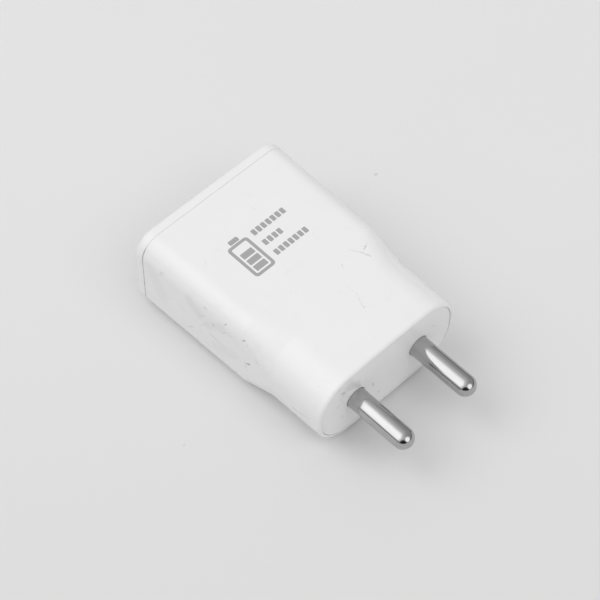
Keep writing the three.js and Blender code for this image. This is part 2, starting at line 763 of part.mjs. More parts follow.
// The insulator: a block that fills the shell's rear, and a tongue with one groove for each contact.
function usbInsulator() {
  const clear = 0.08;
  const block = box(
    -SHELL_INNER.halfWidth + clear,
    SHELL_INNER.halfWidth - clear,
    RECEPTACLE.rear + 0.2,
    TONGUE_ROOT,
    MID_Z - SHELL_INNER.halfHeight + clear,
    MID_Z + SHELL_INNER.halfHeight - clear,
  );
  const under = TONGUE_TOP - TONGUE.thickness;
  const tongue = box(-TONGUE.width / 2, TONGUE.width / 2, TONGUE_ROOT - 1, TONGUE_TIP, under, TONGUE_TOP);
  const grooveDepth = 0.9;
  const side = 0.18;
  const grooves = CONTACT_X.map((x) =>
    box(
      x - CONTACT.width / 2 - side,
      x + CONTACT.width / 2 + side,
      TONGUE_ROOT - 0.6,
      TONGUE_TIP - 0.5,
      under - 1,
      under + grooveDepth,
    ),
  );
  const slots = LEADS.contacts.map(([x]) =>
    box(
      x - CONTACT.width / 2 - side,
      x + CONTACT.width / 2 + side,
      RECEPTACLE.rear - 1,
      TONGUE_ROOT - 0.6 + FIT_GAP,
      MID_Z - RECEPTACLE.height,
      under + grooveDepth,
    ),
  );
  return cut(join(block, tongue), ...grooves, ...slots);
}

// The free end of a contact: a flat strip in its groove with a bow that stands below the tongue.
function usbContact(x) {
  const under = TONGUE_TOP - TONGUE.thickness;
  const root = TONGUE_ROOT - 0.3;
  const { thickness, bow, length, width } = CONTACT;
  const bowCentre = length * 0.72;
  const bowHalf = length * 0.2;
  const drop = (t) => {
    const u = Math.abs(t - bowCentre) / bowHalf;
    return u >= 1 ? 0 : (bow * (1 + Math.cos(Math.PI * u))) / 2;
  };
  const stations = [0, ...steps(bowCentre - bowHalf, bowCentre + bowHalf, 6), length];
  const profile = new THREE.Shape([
    ...stations.map((t) => new THREE.Vector2(t, -drop(t))),
    ...stations.toReversed().map((t) => new THREE.Vector2(t, thickness - drop(t))),
  ]);
  // The shape lies in the YZ plane and is extruded across X.
  return new THREE.ExtrudeGeometry(profile, { depth: width, bevelEnabled: false })
    .applyMatrix4(
      new THREE.Matrix4().makeBasis(
        new THREE.Vector3(0, 1, 0),
        new THREE.Vector3(0, 0, 1),
        new THREE.Vector3(1, 0, 0),
      ),
    )
    .translate(x - width / 2, root, under + 0.02);
}

// The fixed end of a contact: it runs back through the insulator and down through the board.
function usbContactTail(x) {
  const under = TONGUE_TOP - TONGUE.thickness;
  const { thickness, width } = CONTACT;
  const tailY = LEADS.contacts[0][1];
  const half = width / 2;
  const post = { halfWidth: 0.3, halfDepth: 0.15 };
  const low = under + 0.02;
  const run = box(
    x - half,
    x + half,
    tailY - post.halfDepth,
    TONGUE_ROOT - 0.3 - FIT_GAP,
    low,
    low + thickness,
  );
  const leg = box(
    x - post.halfWidth,
    x + post.halfWidth,
    tailY - post.halfDepth,
    tailY + post.halfDepth,
    LEAD_END,
    low + thickness / 2,
  );
  return join(run, leg);
}

// ---- Assembly -----------------------------------------------------------------------------------
const charger = new THREE.Group();
const assembly = new THREE.Group(); // y = 0 at the pin plate's face
assembly.position.y = PIN_LENGTH - OVERALL_LENGTH / 2; // centres the whole length on the origin
charger.add(assembly);

function add(name, geometry, material) {
  const mesh = new THREE.Mesh(geometry, material);
  mesh.name = name;
  assembly.add(mesh);
}

add("main_shell", mainShell(), MATERIAL.housing);
add("usb_end_cap", usbEndCap(), MATERIAL.housing);
add("pin_plate", pinPlate(), MATERIAL.housing);
for (const [name, side] of [["left", -1], ["right", 1]]) {
  add(`pin_${name}`, pin(side), MATERIAL.nickel);
  add(`pin_contact_${name}`, pinContact(side), MATERIAL.bronze);
}

add("main_board", mainBoard(), MATERIAL.board);
add("fuse_resistor", fuseResistor(), MATERIAL.fuseBody);
add("bulk_capacitor_large", bulkCapacitorLarge(), MATERIAL.blackSleeve);
add("bulk_capacitor_small", bulkCapacitorSmall(), MATERIAL.blackSleeve);
add("choke_drum", chokeDrum(), MATERIAL.ferrite);
add("choke_winding", chokeWinding(), MATERIAL.bronze);
add("transformer_core_front", transformerCore(-1), MATERIAL.ferrite);
add("transformer_core_rear", transformerCore(1), MATERIAL.ferrite);
add("transformer_bobbin", transformerBobbin(), MATERIAL.bobbin);
add("transformer_winding", transformerWinding(), MATERIAL.tape);
add("isolation_capacitor", yCapacitor(), MATERIAL.blueDisc);
add("snubber_diode", snubberDiode(), MATERIAL.chip);
add("output_capacitor_left", outputCapacitor(-1, LEADS.outputLeft), MATERIAL.polymerCan);
add("output_capacitor_right", outputCapacitor(1, LEADS.outputRight), MATERIAL.polymerCan);

const CHIPS = {
  bridge_rectifier: { x: 0, y: 14.4, width: 4.2, length: 5, height: 2.4, legs: 2, below: true },
  switching_transistor: { x: -9.2, y: 27, width: 6.2, length: 6.6, height: 2.2, legs: 2, below: true },
  controller_chip: { x: 9.6, y: 25.4, width: 3.9, length: 4.9, height: 1.6, legs: 4, below: true },
  optocoupler: { x: 13.2, y: 40.2, width: 4.4, length: 2.8, height: 2.2, legs: 2 },
  output_rectifier: { x: -6.2, y: 45.4, width: 3.9, length: 4.9, height: 1.5, legs: 4, below: true },
  fast_charge_chip: { x: 8.6, y: 46.6, width: 1.6, length: 2.9, height: 1.1, legs: 3, below: true },
};
for (const [name, size] of Object.entries(CHIPS)) add(name, chipPackage(size), MATERIAL.chip);

const SMALL_PARTS = {
  snubber_resistor: { x: 1.2, y: 21.6, length: 3.2, width: 1.6, height: 0.6 },
  sense_resistor: { x: -9.2, y: 21, length: 3.2, width: 1.6, height: 0.6 },
  feedback_resistor: { x: 13, y: 36.2, length: 2, width: 1.25, height: 0.5, along: "y" },
  supply_capacitor: { x: 9.6, y: 20.4, length: 2, width: 1.25, height: 1.1 },
  snubber_capacitor: { x: 3.2, y: 29.6, length: 3.2, width: 1.6, height: 1.2 },
  output_filter_capacitor: { x: 3.2, y: 47.6, length: 3.2, width: 1.6, height: 1.4 },
};
for (const [name, size] of Object.entries(SMALL_PARTS)) add(name, chipComponent(size), MATERIAL.ceramic);

add("usb_shell", usbShell(), MATERIAL.steel);
add("usb_insulator", usbInsulator(), MATERIAL.whitePlastic);
CONTACT_X.forEach((x, i) => {
  add(`usb_contact_${i + 1}`, usbContact(x), MATERIAL.gold);
  add(`usb_contact_tail_${i + 1}`, usbContactTail(x), MATERIAL.gold);
});

export default charger;
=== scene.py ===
# USB wall charger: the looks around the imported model.
# Lengths are written in millimetres and multiplied by MM; pins towards -Y, USB port towards +Y, +Z up.
import json
import math

import bmesh
import bpy
from mathutils import Matrix, Vector


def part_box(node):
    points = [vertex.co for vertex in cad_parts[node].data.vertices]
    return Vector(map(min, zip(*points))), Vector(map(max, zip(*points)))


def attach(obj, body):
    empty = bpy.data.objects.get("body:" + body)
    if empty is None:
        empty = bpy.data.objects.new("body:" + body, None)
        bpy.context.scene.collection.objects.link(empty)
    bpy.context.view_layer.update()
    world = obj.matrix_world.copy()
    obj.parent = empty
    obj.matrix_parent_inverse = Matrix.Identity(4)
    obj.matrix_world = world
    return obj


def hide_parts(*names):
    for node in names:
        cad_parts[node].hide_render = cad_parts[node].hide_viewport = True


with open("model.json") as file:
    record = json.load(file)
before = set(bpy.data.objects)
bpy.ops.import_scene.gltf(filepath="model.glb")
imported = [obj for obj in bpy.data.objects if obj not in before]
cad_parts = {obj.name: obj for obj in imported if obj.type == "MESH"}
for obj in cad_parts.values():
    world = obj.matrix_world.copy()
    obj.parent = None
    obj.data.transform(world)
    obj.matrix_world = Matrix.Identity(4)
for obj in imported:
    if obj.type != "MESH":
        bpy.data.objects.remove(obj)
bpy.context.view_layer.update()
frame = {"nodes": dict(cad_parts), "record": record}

MM = 0.001
HOUSING = "housing"

# ---- Places from the frame, in millimetres ------------------------------------------------------
shell_low, shell_high = (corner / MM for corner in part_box("main_shell"))
receptacle_low, receptacle_high = (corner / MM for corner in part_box("usb_shell"))
FACE_Y = shell_low.y  # the pin plate's face
SLEEVE = shell_high.y - FACE_Y  # the sleeve's length
CAP = (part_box("usb_end_cap")[1] / MM).y - shell_high.y  # how far the cap goes on from there
MID_Z = (shell_low.z + shell_high.z) / 2
TOP_Z = shell_high.z

# ---- The housing's dimensions -------------------------------------------------------------------
# Cross-sections: half width, half height, corner radius, and how far the broad sides bulge.
REAR = (21.3, 11.4, 4.95, 0.0)
WAIST = (20.5, 11.4, 4.95, 0.0)
NECK = (20.35, 11.0, 9.3, 0.1)
FRONT = (20.35, 10.45, 9.2, 0.2)
WAIST_Y, NECK_Y = 23.9, 15.4  # from the pin plate's face
CREASE = 0.03  # of the shoulder's length, over which each of its creases is rounded
WALL = 1.6
FRONT_RADIUS = 0.72
FRONT_RIM = 0.9
PLATE_THICKNESS = 2.5
PLATE_GAP = 0.06
PLATE_RECESS = 0.08
CAP_RADIUS = 1.4
SEAM_GAP = 0.03
SEAM_RADIUS = 0.06

CORNER_STEPS, LONG_STEPS, SHORT_STEPS = 12, 14, 6
LEAST_CORNER = 0.25  # radius of a cross-section's corner, however far it is inset


# ---- Mesh helpers -------------------------------------------------------------------------------
def steps(start, end, count):
    return [start + (end - start) * i / count for i in range(count + 1)]


def mix(a, b, t):
    return tuple(p + (q - p) * t for p, q in zip(a, b))


def outline(section, inset=0.0):
    """Points (x, z) of a rounded rectangle about its centre, counter-clockwise from the right-hand side."""
    half_width, half_height, corner, crown = section
    half_width, half_height = half_width - inset, half_height - inset
    corner = max(corner - inset, LEAST_CORNER)
    flat_x, flat_z = half_width - corner, half_height - corner
    points = []
    for quarter, (sx, sz) in enumerate(((1, 1), (-1, 1), (-1, -1), (1, -1))):
        for angle in steps(quarter * math.pi / 2, (quarter + 1) * math.pi / 2, CORNER_STEPS):
            points.append((sx * flat_x + corner * math.cos(angle), sz * flat_z + corner * math.sin(angle)))
        if quarter % 2 == 0:
            for x in steps(sx * flat_x, -sx * flat_x, LONG_STEPS)[1:-1]:
                points.append((x, sz * (half_height + crown * (1 - (x / flat_x) ** 2))))
        else:
            for z in steps(sz * flat_z, -sz * flat_z, SHORT_STEPS)[1:-1]:
                points.append((sx * half_width, z))
    return points


def ring(y, section, inset=0.0):
    """The housing's outline at y from the pin plate's face, in metres in the row frame."""
    return [Vector((x, FACE_Y + y, MID_Z + z)) * MM for x, z in outline(section, inset)]


def new_object(name, mesh_data):
    mesh = bpy.data.meshes.new(name)
    mesh_data.to_mesh(mesh)
    mesh_data.free()
    obj = bpy.data.objects.new(name, mesh)
    bpy.context.collection.objects.link(obj)
    return obj


def skin(name, rings, looped=True):
    """A mesh through rings of equal length. Looped, the last ring joins the first; otherwise both ends
    are filled with one face each."""
    bm = bmesh.new()
    rows = [[bm.verts.new(p) for p in points] for points in rings]
    spans = len(rows) if looped else len(rows) - 1
    for i in range(spans):
        here, there = rows[i], rows[(i + 1) % len(rows)]
        for j in range(len(here)):
            k = (j + 1) % len(here)
            bm.faces.new((here[j], here[k], there[k], there[j]))
    if not looped:
        bm.faces.new(rows[0])
        bm.faces.new(rows[-1])
    bmesh.ops.recalc_face_normals(bm, faces=bm.faces)
    return new_object(name, bm)


def turned(name, profile, centre, segments=96):
    """A solid of revolution about an axis along Y, from (radius, y) pairs that start and end on the axis."""
    bm = bmesh.new()
    x, z = centre
    rows = []
    for radius, y in profile[1:-1]:
        row = []
        for i in range(segments):
            angle = 2 * math.pi * i / segments
            place = Vector((x + radius * math.cos(angle), y, z + radius * math.sin(angle)))
            row.append(bm.verts.new(place * MM))
        rows.append(row)
    poles = [bm.verts.new(Vector((x, profile[i][1], z)) * MM) for i in (0, -1)]
    for here, there in zip(rows, rows[1:]):
        for j in range(segments):
            k = (j + 1) % segments
            bm.faces.new((here[j], here[k], there[k], there[j]))
    for pole, row in zip(poles, (rows[0], rows[-1])):
        for j in range(segments):
            bm.faces.new((pole, row[j], row[(j + 1) % segments]))
    bmesh.ops.recalc_face_normals(bm, faces=bm.faces)
    return new_object(name, bm)


def slab(name, points, low, high, axis="z"):
    """A closed prism over a polygon, from low to high along an axis, all in millimetres."""
    def place(point, level):
        a, b = point
        return Vector((a, b, level)) * MM if axis == "z" else Vector((a, level, b)) * MM
    return skin(name, [[place(p, low) for p in points], [place(p, high) for p in points]], looped=False)


def join(objects, name):
    """One object from several, which are removed."""
    bm = bmesh.new()
    for obj in objects:
        bm.from_mesh(obj.data)
        bpy.data.objects.remove(obj)
    return new_object(name, bm)


def smooth(obj, sharp_deg=32.0):
    obj.data.polygons.foreach_set("use_smooth", [True] * len(obj.data.polygons))
    obj.data.set_sharp_from_angle(angle=math.radians(sharp_deg))
    weighted = obj.modifiers.new("even_normals", "WEIGHTED_NORMAL")
    weighted.keep_sharp = True
    return obj


def boolean(obj, operation, tool):
    """Cuts tool out of obj, or joins it on, and removes it."""
    modifier = obj.modifiers.new(operation, "BOOLEAN")
    modifier.operation = operation
    modifier.solver = "EXACT"
    modifier.object = tool
    evaluated = obj.evaluated_get(bpy.context.evaluated_depsgraph_get())
    mesh = bpy.data.meshes.new_from_object(evaluated)
    obj.modifiers.clear()
    old, obj.data = obj.data, mesh
    mesh.name = obj.name
    bpy.data.meshes.remove(old)
    bpy.data.objects.remove(tool)
    return obj


def shade_joints(obj, in_joint):
    """Gives the faces inside a joint the piece's second material."""
    for face in obj.data.polygons:
        if in_joint(face.center / MM - Vector((0.0, FACE_Y, MID_Z)), face.normal):
            face.material_index = 1
    return obj


def show(obj, material, body=HOUSING, replaced=(), in_joint=None):
    """Gives a finished piece its material and ties it to the frame."""
    obj.data.materials.clear()
    obj.data.materials.append(material)
    if in_joint:
        obj.data.materials.append(joint_shade)
        shade_joints(obj, in_joint)
    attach(obj, body)
    if replaced:
        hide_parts(*replaced)
    return obj


# ---- Material helpers ---------------------------------------------------------------------------
def wire(node, inputs):
    """Links each input to its value, or sets it where the value is a constant."""
    for socket, value in inputs.items():
        if isinstance(value, bpy.types.NodeSocket):
            node.id_data.links.new(value, node.inputs[socket])
        else:
            node.inputs[socket].default_value = value
    return node


def grey(value):
    return (value, value, value)


class Surface:
    """A node material: constants sit on the shader's own sockets, and detail is linked to them."""

    def __init__(self, name, **constants):
        self.material = bpy.data.materials.new(name)
        self.material.use_nodes = True
        self.nodes = self.material.node_tree.nodes
        self.links = self.material.node_tree.links
        self.shader = self.nodes["Principled BSDF"]
        for socket, value in constants.items():
            self.shader.inputs[socket.replace("_", " ")].default_value = value
        place = self.nodes.new("ShaderNodeTexCoord").outputs["Object"]
        self.place = self.vector("SCALE", place, scale=1 / MM)  # the row frame, in millimetres

    def vector(self, operation, first, second=None, scale=None):
        node = self.nodes.new("ShaderNodeVectorMath")
        node.operation = operation
        inputs = {0: first}
        if second is not None:
            inputs[1] = second
        if scale is not None:
            inputs["Scale"] = scale
        return wire(node, inputs).outputs["Value" if operation in ("DISTANCE", "DOT_PRODUCT") else "Vector"]

    def math(self, operation, first, second=0.0, clamp=False):
        node = self.nodes.new("ShaderNodeMath")
        node.operation = operation
        node.use_clamp = clamp
        return wire(node, {0: first, 1: second}).outputs[0]

    def stretched(self, x, y, z):
        return self.vector("MULTIPLY", self.place, (x, y, z))

    def noise(self, scale, detail=3.0, roughness=0.5, distortion=0.0, at=None):
        node = self.nodes.new("ShaderNodeTexNoise")
        return wire(node, {"Vector": at or self.place, "Scale": scale, "Detail": detail,
                           "Roughness": roughness, "Distortion": distortion}).outputs["Fac"]

    def cells(self, scale, at=None, feature="F1", randomness=1.0):
        node = self.nodes.new("ShaderNodeTexVoronoi")
        node.feature = feature
        return wire(node, {"Vector": at or self.place, "Scale": scale,
                           "Randomness": randomness}).outputs["Distance"]

    def between(self, value, low, high, out_low=0.0, out_high=1.0):
        """Maps low..high to out_low..out_high smoothly, held at both ends."""
        node = self.nodes.new("ShaderNodeMapRange")
        node.interpolation_type = "SMOOTHSTEP"
        return wire(node, {"Value": value, "From Min": low, "From Max": high,
                           "To Min": out_low, "To Max": out_high}).outputs["Result"]

    def axis(self, name):
        node = self.nodes.new("ShaderNodeSeparateXYZ")
        return wire(node, {0: self.place}).outputs[name]

    def blend(self, low, high, factor):
        """The colour low where factor is 0 and high where it is 1."""
        node = self.nodes.new("ShaderNodeMix")
        node.data_type = "RGBA"
        wire(node, {"Factor": factor})
        for socket, value in (("A_Color", low), ("B_Color", high)):
            target = next(s for s in node.inputs if s.identifier == socket)
            if isinstance(value, bpy.types.NodeSocket):
                self.links.new(value, target)
            else:
                target.default_value = (*value, 1.0)
        return next(s for s in node.outputs if s.identifier == "Result_Color")

    def warped(self, scale, amount):
        """The place, shaken by up to about half of "amount" millimetres."""
        node = self.nodes.new("ShaderNodeTexNoise")
        shake = wire(node, {"Vector": self.place, "Scale": scale, "Detail": 3.0}).outputs["Color"]
        shake = self.vector("SCALE", self.vector("SUBTRACT", shake, (0.5, 0.5, 0.5)), scale=amount)
        return self.vector("ADD", self.place, shake)

    def stroke(self, at, start, end, width):
        """1 on the line from start to end, falling to 0 at "width" millimetres from it."""
        along = end - start
        offset = self.vector("SUBTRACT", at, start)
        share = self.vector("DOT_PRODUCT", offset, along / along.length_squared)
        share = self.math("MINIMUM", self.math("MAXIMUM", share, 0.0), 1.0)
        nearest = self.vector("SCALE", along, scale=share)
        distance = self.vector("DISTANCE", offset, nearest)
        core = 0.3 * width
        return self.between(distance, core, width, 1.0, 0.0)

    def colour(self, value):
        self.links.new(value, self.shader.inputs["Base Color"])

    def roughness(self, value):
        self.links.new(value, self.shader.inputs["Roughness"])

    def bump(self, height, distance_mm, strength):
        node = self.nodes.new("ShaderNodeBump")
        wire(node, {"Height": height, "Distance": distance_mm * MM, "Strength": strength})
        self.links.new(node.outputs["Normal"], self.shader.inputs["Normal"])


# ---- Materials ----------------------------------------------------------------------------------
# Scuffs on the housing: start and end (x, y from the pin plate's face, z), half width, darkness.
SCUFFS = (
    # The narrow side, from the USB end to the shoulder.
    ((-21.2, 49.5, 17.0), (-21.1, 48.5, 19.2), 0.22, 0.34),
    ((-21.1, 48.5, 19.2), (-21.1, 47.6, 18.9), 0.17, 0.40),
    ((-21.0, 44.8, 21.2), (-21.0, 43.7, 21.1), 0.17, 0.40),
    ((-21.1, 48.3, 11.5), (-21.1, 45.9, 11.9), 0.31, 0.34),
    ((-21.0, 43.8, 12.7), (-20.9, 41.1, 11.1), 0.22, 0.30),
    ((-20.9, 37.4, 20.2), (-20.8, 34.2, 18.9), 0.33, 0.49),
    ((-20.8, 33.8, 22.0), (-20.8, 33.8, 20.8), 0.28, 0.49),
    ((-20.8, 36.7, 15.2), (-20.8, 34.8, 16.4), 0.24, 0.37),
    ((-20.7, 32.7, 15.9), (-20.7, 32.3, 15.4), 0.29, 0.52),
    ((-20.6, 29.1, 19.0), (-20.6, 28.0, 20.4), 0.20, 0.49),
    ((-20.9, 40.7, 6.7), (-20.9, 39.0, 8.1), 0.22, 0.34),
    ((-20.7, 30.3, 15.0), (-20.6, 28.5, 16.8), 0.26, 0.46),
    ((-20.6, 28.5, 16.8), (-20.6, 26.8, 17.0), 0.22, 0.40),
    ((-20.8, 33.7, 11.0), (-20.6, 29.1, 10.6), 0.28, 0.30),
    ((-20.8, 36.9, 10.7), (-20.8, 34.7, 14.3), 0.18, 0.30),
    # Broad, faint smudges along it.
    ((-21.1, 52.0, 17.0), (-21.1, 49.0, 10.0), 3.00, 0.06),
    ((-20.9, 40.0, 17.5), (-20.9, 37.0, 15.0), 2.20, 0.09),
    ((-20.8, 34.5, 13.5), (-20.7, 30.0, 17.5), 1.80, 0.08),
    ((-20.7, 31.5, 8.0), (-20.6, 26.5, 10.5), 2.40, 0.06),
    # Pits and grime where the shoulder starts.
    ((-20.5, 23.5, 18.9), (-20.5, 21.5, 20.5), 0.50, 0.72),
    ((-20.5, 22.5, 20.5), (-20.5, 22.3, 18.3), 0.31, 0.46),
    ((-20.5, 22.0, 11.7), (-20.5, 21.5, 12.0), 0.36, 0.95),
    ((-20.5, 22.9, 11.7), (-20.5, 22.4, 8.9), 0.24, 0.34),
    ((-20.5, 19.7, 15.6), (-20.5, 18.7, 14.9), 0.26, 0.40),
    ((-18.7, 21.0, 18.1), (-18.5, 17.7, 18.5), 0.60, 0.35),
    ((-20.3, 8.5, 9.8), (-20.3, 3.5, 10.9), 0.45, 0.22),
    # The upper side: a nick, a smear and a long hairline near the far shoulder.
    ((-13.6, 42.5, 22.8), (-15.1, 40.9, 22.8), 0.19, 0.10),
    ((-16.7, 40.4, 22.8), (-16.8, 39.9, 22.8), 0.28, 0.14),
    ((13.3, 20.9, 22.7), (14.1, 21.2, 22.7), 0.40, 0.34),
    ((14.1, 21.2, 22.7), (14.9, 21.6, 22.7), 0.28, 0.20),
    ((10.8, 22.8, 22.8), (12.2, 20.8, 22.7), 0.18, 0.20),
    ((12.2, 20.8, 22.7), (13.0, 18.6, 22.6), 0.24, 0.28),
    ((6.9, 21.3, 22.7), (6.5, 20.3, 22.7), 0.22, 0.20),
    ((4.0, 16.7, 22.5), (3.8, 13.8, 22.5), 0.14, 0.16),
    ((3.8, 13.8, 22.5), (2.8, 11.0, 22.4), 0.19, 0.20),
    ((2.8, 11.0, 22.4), (2.6, 10.2, 22.3), 0.24, 0.36),
    ((-17.1, 23.9, 21.4), (-16.3, 24.0, 21.4), 0.24, 0.20),
)
PLATE_SCUFFS = (
    ((-13.8, 0.0, 17.5), (-13.0, 0.0, 16.8), 0.57, 0.44),
    ((-13.6, 0.0, 17.0), (-13.3, 0.0, 15.9), 0.46, 0.33),
    ((-14.5, 0.0, 16.8), (-14.2, 0.0, 15.4), 0.28, 0.28),
    ((-13.4, 0.0, 14.3), (-14.2, 0.0, 13.6), 0.28, 0.39),
    ((-14.2, 0.0, 13.6), (-15.1, 0.0, 13.1), 0.32, 0.39),
    ((-11.0, 0.0, 19.2), (-10.7, 0.0, 18.3), 0.34, 0.28),
    ((-9.8, 0.0, 16.8), (-8.6, 0.0, 14.7), 0.69, 0.28),
    ((-4.4, 0.0, 11.5), (-4.0, 0.0, 9.9), 0.40, 0.28),
    ((-2.4, 0.0, 6.2), (-2.2, 0.0, 5.6), 0.34, 0.28),
    ((-14.1, 0.0, 8.7), (-13.2, 0.0, 7.3), 0.34, 0.28),
    ((-12.1, 0.0, 17.8), (-9.3, 0.0, 16.3), 1.60, 0.20),
    ((13.8, 0.0, 14.9), (14.5, 0.0, 13.6), 0.34, 0.22),
)


SCUFF, JOINT_DUST, SPECK, SCRATCH, DIRT_AND_SHADE_GREY = grey(0.15), grey(0.2), grey(0.3), grey(0.6), grey(0.62)
SIDE_FROM, SIDE_TO = 17.5, 20.5  # distance from the middle over which grime and the painted shade on the narrow sides set in
JOINT_FROM, JOINT_TO = 19.0, 21.0  # the same for dust in the joint


def housing_plastic(name, scuffs):
    """White semi-gloss plastic with handling marks: the scuffs listed, faint smudges along the narrow sides
    and round the waist, a few specks, fine scratches, and spark-eroded grain. Painted shade darkens the
    narrow sides evenly."""
    s = Surface(name, IOR=1.46, Specular_IOR_Level=0.28)
    along = s.axis("Y")
    soft = s.noise(0.09, detail=4.0)
    tone = s.blend(grey(0.845), grey(0.88), soft)

    # Grime gathers on the narrow sides and where the shoulder meets the neck, and painted shade darkens the
    # narrow sides evenly.
    side = s.between(s.math("ABSOLUTE", s.axis("X")), SIDE_FROM, SIDE_TO)
    waist_y = FACE_Y + (WAIST_Y + NECK_Y) / 2
    waist = s.between(s.math("ABSOLUTE", s.math("SUBTRACT", along, waist_y)), 2.0, 9.0, 1.0, 0.25)
    patches = s.between(s.noise(0.35, detail=8.0, roughness=0.65, distortion=0.6), 0.53, 0.78)
    grime = s.math("MULTIPLY", s.math("MULTIPLY", side, waist), patches)
    film = s.math("MULTIPLY", s.between(s.noise(0.22, detail=6.0, roughness=0.65), 0.55, 0.8), 0.25)
    dirt = s.math("ADD", s.math("MULTIPLY", grime, 0.7), film, clamp=True)
    # Painted shade: the narrow sides are darkened evenly, on top of their grime.
    dirt_and_side_shade = s.math("ADD", s.math("MULTIPLY", dirt, 0.5), s.math("MULTIPLY", side, 0.16), clamp=True)
    toned = s.blend(tone, DIRT_AND_SHADE_GREY, dirt_and_side_shade)

    # Scuffs, with ragged outlines and a broken middle.
    shaken = s.warped(1.3, 1.1)
    scuffed = 0.0
    for start, end, width, darkness in scuffs:
        ends = [Vector(place) + Vector((0.0, FACE_Y, 0.0)) for place in (start, end)]
        mark = s.math("MULTIPLY", s.stroke(shaken, *ends, width), darkness)
        scuffed = s.math("MAXIMUM", mark, scuffed)
    scuffed = s.math("MULTIPLY", scuffed, s.between(s.noise(2.2, detail=3.0), 0.3, 0.6, 0.5, 1.0))
    marked = s.blend(toned, SCUFF, scuffed)

    # Dust in the joint round the USB end, along the narrow sides.
    joint = s.between(s.math("ABSOLUTE", s.math("SUBTRACT", along, FACE_Y + SLEEVE)), 0.05, 0.2, 1.0, 0.0)
    joint = s.math("MULTIPLY", joint, s.between(s.math("ABSOLUTE", s.axis("X")), JOINT_FROM, JOINT_TO))
    joint = s.math("MULTIPLY", joint, s.between(s.noise(0.8), 0.35, 0.55, 0.4, 0.75))
    marked = s.blend(marked, JOINT_DUST, joint)

    # Specks: the centres of a few cells.
    cell = s.cells(0.42)
    chosen = s.between(s.noise(0.3, detail=1.0), 0.57, 0.66)
    speck = s.math("MULTIPLY", s.between(cell, 0.03, 0.07, 1.0, 0.0), chosen)
    speckled = s.blend(marked, SPECK, s.math("MULTIPLY", speck, 0.45))

    # Fine straight scratches, mostly along the body.
    streak = s.noise(1.0, detail=1.0, at=s.stretched(2.6, 0.14, 2.6))
    scratch = s.math("MULTIPLY", s.between(streak, 0.72, 0.78), s.between(s.noise(0.4), 0.5, 0.6))
    s.colour(s.blend(speckled, SCRATCH, s.math("MULTIPLY", scratch, 0.35)))

    worn = s.math("ADD", s.between(soft, 0.3, 0.7, 0.18, 0.25), s.math("MULTIPLY", dirt, 0.2))
    s.roughness(s.math("ADD", worn, s.math("MULTIPLY", scuffed, 0.25)))
    grain = s.noise(6.0, detail=2.0)
    ripple = s.noise(0.12, detail=1.0)
    relief = s.math("ADD", s.math("MULTIPLY", grain, 0.12), s.math("MULTIPLY", ripple, 0.8))
    worn_away = s.math("ADD", s.math("MULTIPLY", scratch, 0.3), s.math("MULTIPLY", scuffed, 1.5))
    s.bump(s.math("SUBTRACT", relief, worn_away), 0.02, 0.6)
    return s.material


def joint_dust_and_shade():
    """The housing's plastic inside a joint, where dust has settled, made a darker grey as painted shade."""
    s = Surface("dusty_shaded_joint", IOR=1.5)
    dust = s.noise(1.6, detail=5.0, roughness=0.7)
    # Painted shade with dust: a darker grey than the housing, for the joint's hidden faces.
    s.colour(s.blend(grey(0.4), grey(0.6), s.between(dust, 0.3, 0.7)))
    s.roughness(s.between(dust, 0.3, 0.7, 0.6, 0.8))
    s.bump(dust, 0.01, 0.5)
    return s.material


def printed_ink():
    s = Surface("grey_ink", IOR=1.45)
    mottling = s.noise(3.0, detail=4.0)
    s.colour(s.blend(grey(0.35), grey(0.43), mottling))
    s.roughness(s.between(mottling, 0.3, 0.7, 0.45, 0.6))
    s.bump(s.noise(9.0, detail=2.0), 0.004, 0.5)
    return s.material


def pin_metal():
    """Bright nickel plating over turned brass: fine rings round the pin, drawn smears along it."""
    s = Surface("nickel_plating", Metallic=1.0)
    smear = s.noise(0.8, detail=5.0, at=s.stretched(3.0, 0.35, 3.0))
    s.colour(s.blend(grey(0.42), grey(0.53), smear))
    s.roughness(s.between(smear, 0.3, 0.75, 0.07, 0.14))
    rings = s.noise(1.0, detail=3.0, at=s.stretched(0.05, 9.0, 0.05))
    s.bump(rings, 0.003, 0.5)
    return s.material


def sheet_steel():
    s = Surface("plated_steel", Metallic=1.0)
    lines = s.noise(1.5, detail=4.0, at=s.stretched(0.3, 6.0, 3.0))
    s.colour(s.blend(grey(0.5), grey(0.66), lines))
    s.roughness(s.between(lines, 0.3, 0.7, 0.24, 0.38))
    s.bump(lines, 0.004, 0.5)
    return s.material


def metal(name, dark, light, rough=(0.2, 0.35), grain=2.0):
    s = Surface(name, Metallic=1.0)
    spread = s.noise(grain, detail=4.0)
    s.colour(s.blend(dark, light, spread))
    s.roughness(s.between(spread, 0.3, 0.7, *rough))
    s.bump(s.noise(grain * 4, detail=2.0), 0.004, 0.5)
    return s.material


def moulded(name, dark, light, rough=(0.4, 0.55), grain=1.5, relief=0.01):
    s = Surface(name)
    spread = s.noise(grain, detail=5.0)
    s.colour(s.blend(dark, light, spread))
    s.roughness(s.between(spread, 0.3, 0.7, *rough))
    s.bump(s.noise(grain * 5, detail=2.0), relief, 0.6)
    return s.material


def board_laminate():
    """Green solder mask over copper tracks, which show as a lighter, raised maze."""
    s = Surface("solder_mask")
    maze = s.cells(0.45, feature="DISTANCE_TO_EDGE", randomness=0.6)
    track = s.between(maze, 0.1, 0.13, 1.0, 0.0)
    weave = s.noise(4.0, detail=3.0)
    mask = s.blend((0.02, 0.13, 0.04), (0.03, 0.17, 0.06), weave)
    s.colour(s.blend(mask, (0.06, 0.27, 0.1), track))
    s.roughness(s.between(weave, 0.3, 0.7, 0.3, 0.42))
    s.bump(s.math("ADD", track, s.math("MULTIPLY", weave, 0.2)), 0.03, 0.6)
    return s.material


FLOOR_DARKENS = (-0.704, -0.71, 0.0)  # the direction in which painted shade makes the floor a little darker
